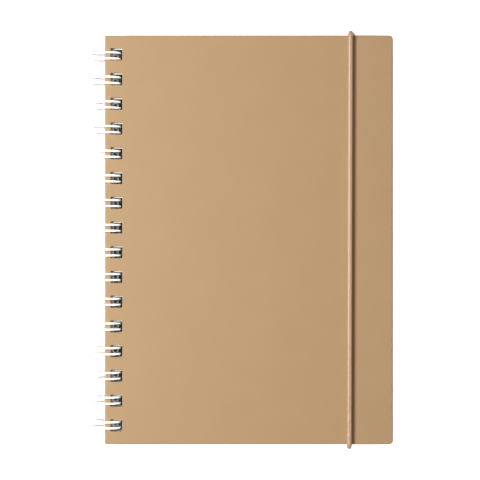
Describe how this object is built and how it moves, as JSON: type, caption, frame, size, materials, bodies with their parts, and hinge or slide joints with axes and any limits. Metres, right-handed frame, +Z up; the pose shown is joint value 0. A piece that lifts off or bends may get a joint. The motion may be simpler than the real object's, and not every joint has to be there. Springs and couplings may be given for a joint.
{
  "type": "spiral notebook",
  "caption": "Hardback notebook with wrapped board covers, a block of blank leaves, twin-loop wire binding along the spine edge and a round elastic closing cord.",
  "frame": {"origin": "centre of the closed notebook's footprint, on the surface it lies on", "axes": "+X from the spine to the fore-edge, +Y from the foot to the head, +Z up through the front cover"},
  "size_m": [0.1566, 0.2152, 0.0168],
  "materials": {
    "cover_board": "matt kraft wrap",
    "leaves": "uncoated",
    "coated_wire": "satin white",
    "elastic": "braided sheath",
    "barb_metal": "plain"
  },
  "bodies": {
    "leaves_and_wire": {"page_block": "leaves", "wire_binding": "coated_wire"},
    "front": {"front_cover": "cover_board"},
    "back": {"back_cover": "cover_board", "elastic_cord": "elastic", "upper_cord_barb": "barb_metal", "lower_cord_barb": "barb_metal"}
  },
  "joints": [
    {"name": "front_cover_hinge", "type": "hinge", "parent": "leaves_and_wire", "child": "front", "pos_m": [-0.0699, 0, 0.0084], "axis": [0, -1, 0], "range_deg": [0, 180], "deforming": ["elastic_cord"]},
    {"name": "back_cover_hinge", "type": "hinge", "parent": "leaves_and_wire", "child": "back", "pos_m": [-0.0699, 0, 0.0084], "axis": [0, 1, 0], "range_deg": [0, 180], "deforming": ["elastic_cord"]}
  ]
}
